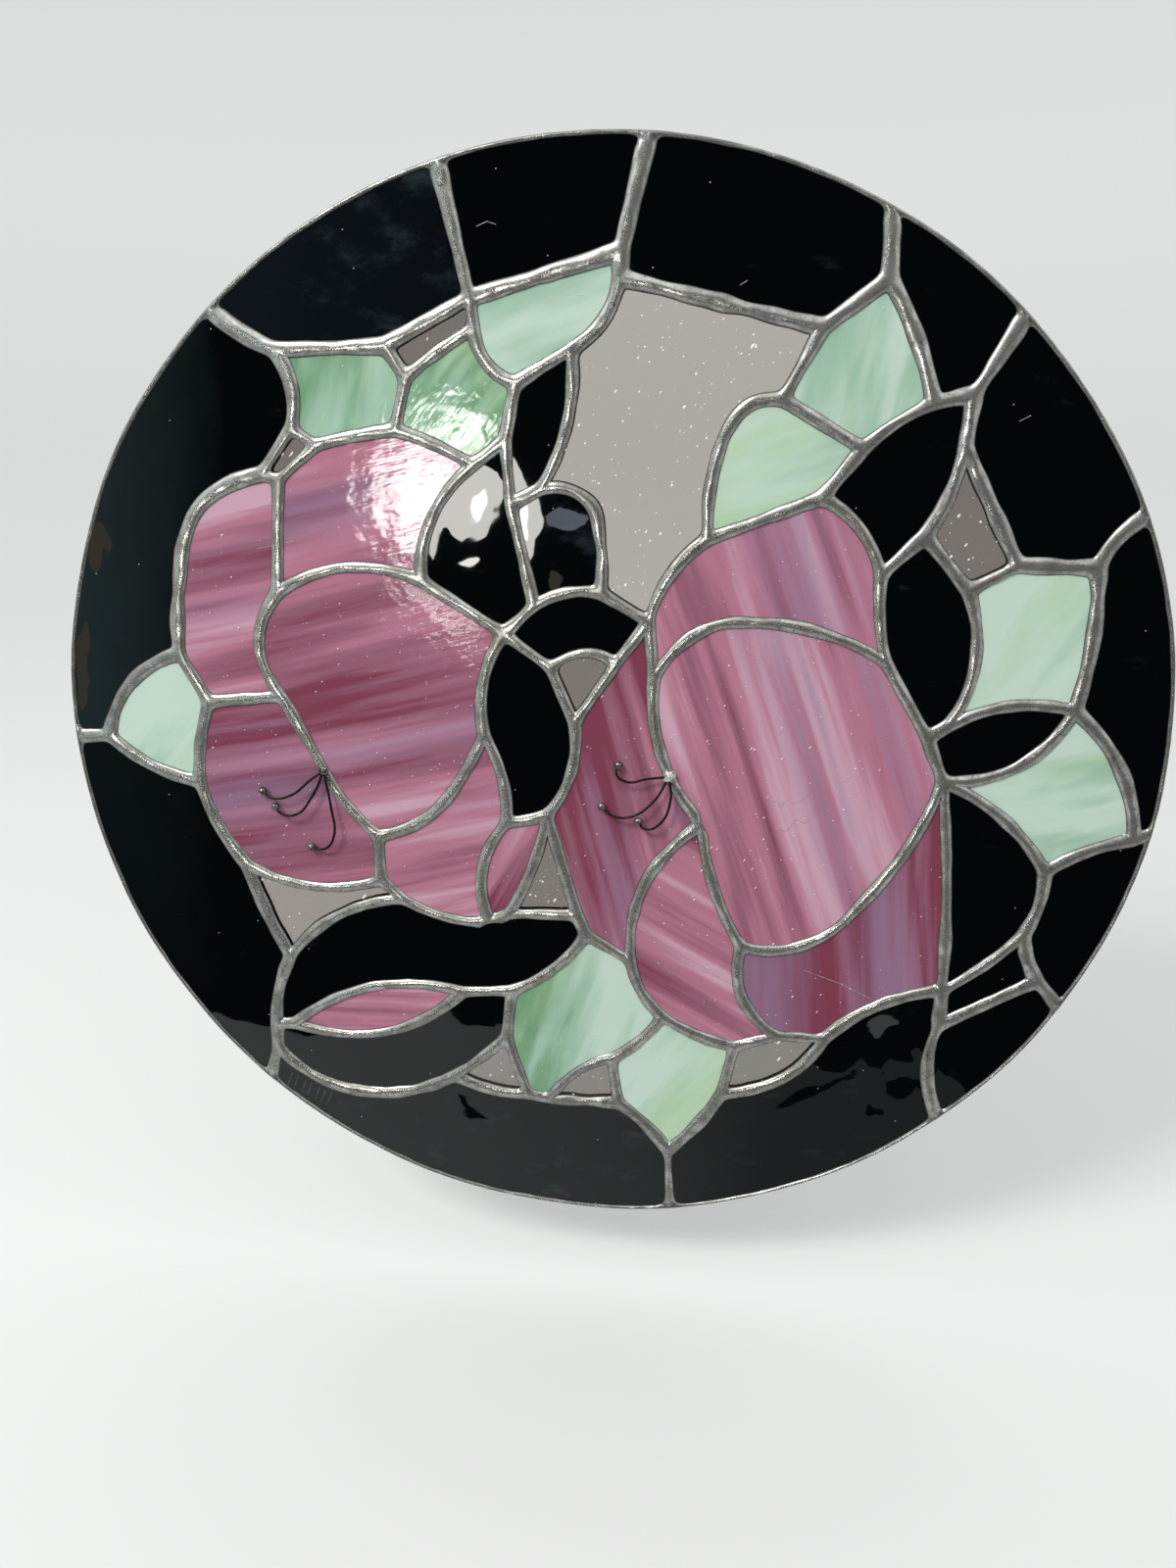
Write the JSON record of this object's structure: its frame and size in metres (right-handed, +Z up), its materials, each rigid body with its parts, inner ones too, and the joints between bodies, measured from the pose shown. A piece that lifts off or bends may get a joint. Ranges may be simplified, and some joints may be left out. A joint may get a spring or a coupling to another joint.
{
  "type": "stained glass window",
  "caption": "Round hanging panel of copper-foiled stained glass: pink flowers and green leaves between clear and black pieces, with a black border and raised solder seams.",
  "frame": {"origin": "middle of the small flat at the top of the rim, where the panel hangs from its hanger or is clipped into a frame", "axes": "+Z up, out of the top of the rim; the panel hangs below the origin in the XZ plane; +Y through its thickness, from the front face with the stamens to the plain back"},
  "size_m": [0.38, 0.008, 0.38],
  "materials": {
    "solder": "hand-run solder bead, lumpy and half bright, with dark edges",
    "wire": "dark drawn wire with bright balls of solder at the ends",
    "black_glass": "opaque black glass, glossy",
    "pink_glass": "streaky pink, crimson and mauve opal glass",
    "green_glass": "pale green opal glass with darker streaks",
    "clear_glass": "clear seedy glass with small bubbles"
  },
  "bodies": {
    "root": {"solder_net": "solder", "left_stamens": "wire", "right_stamens": "wire", "border_left": "black_glass", "border_low_left": "black_glass", "border_bottom": "black_glass", "border_bottom_right": "black_glass", "border_small_low_right": "black_glass", "border_low_right": "black_glass", "border_right": "black_glass", "border_upper_right": "black_glass", "border_top_right": "black_glass", "border_top": "black_glass", "border_top_left": "black_glass", "border_upper_left": "black_glass", "dark_centre_left": "black_glass", "dark_centre_lens": "black_glass", "dark_centre_top": "black_glass", "dark_centre_arch": "black_glass", "dark_centre_low": "black_glass", "dark_right_top": "black_glass", "dark_right_lens": "black_glass", "dark_right_sliver": "black_glass", "dark_right_low": "black_glass", "dark_right_small": "black_glass", "dark_above_bud": "black_glass", "dark_below_bud": "black_glass", "left_petal_outer": "pink_glass", "left_petal_top": "pink_glass", "left_petal_middle": "pink_glass", "left_petal_low": "pink_glass", "left_petal_bottom": "pink_glass", "left_petal_small": "pink_glass", "right_petal_top": "pink_glass", "right_petal_middle": "pink_glass", "right_petal_inner": "pink_glass", "right_petal_bottom": "pink_glass", "right_petal_low": "pink_glass", "bud": "pink_glass", "leaf_upper_left": "green_glass", "leaf_over_left_flower": "green_glass", "leaf_top": "green_glass", "leaf_top_right": "green_glass", "leaf_over_right_flower": "green_glass", "leaf_right": "green_glass", "leaf_low_right": "green_glass", "leaf_left": "green_glass", "leaf_bottom_left": "green_glass", "leaf_bottom": "green_glass", "clear_top": "clear_glass", "clear_upper_left": "clear_glass", "clear_small_left": "clear_glass", "clear_right": "clear_glass", "clear_centre": "clear_glass", "clear_low_left": "clear_glass", "clear_under_left_flower": "clear_glass", "clear_bottom_left": "clear_glass", "clear_bottom": "clear_glass", "clear_bottom_right": "clear_glass"}
  },
  "joints": []
}
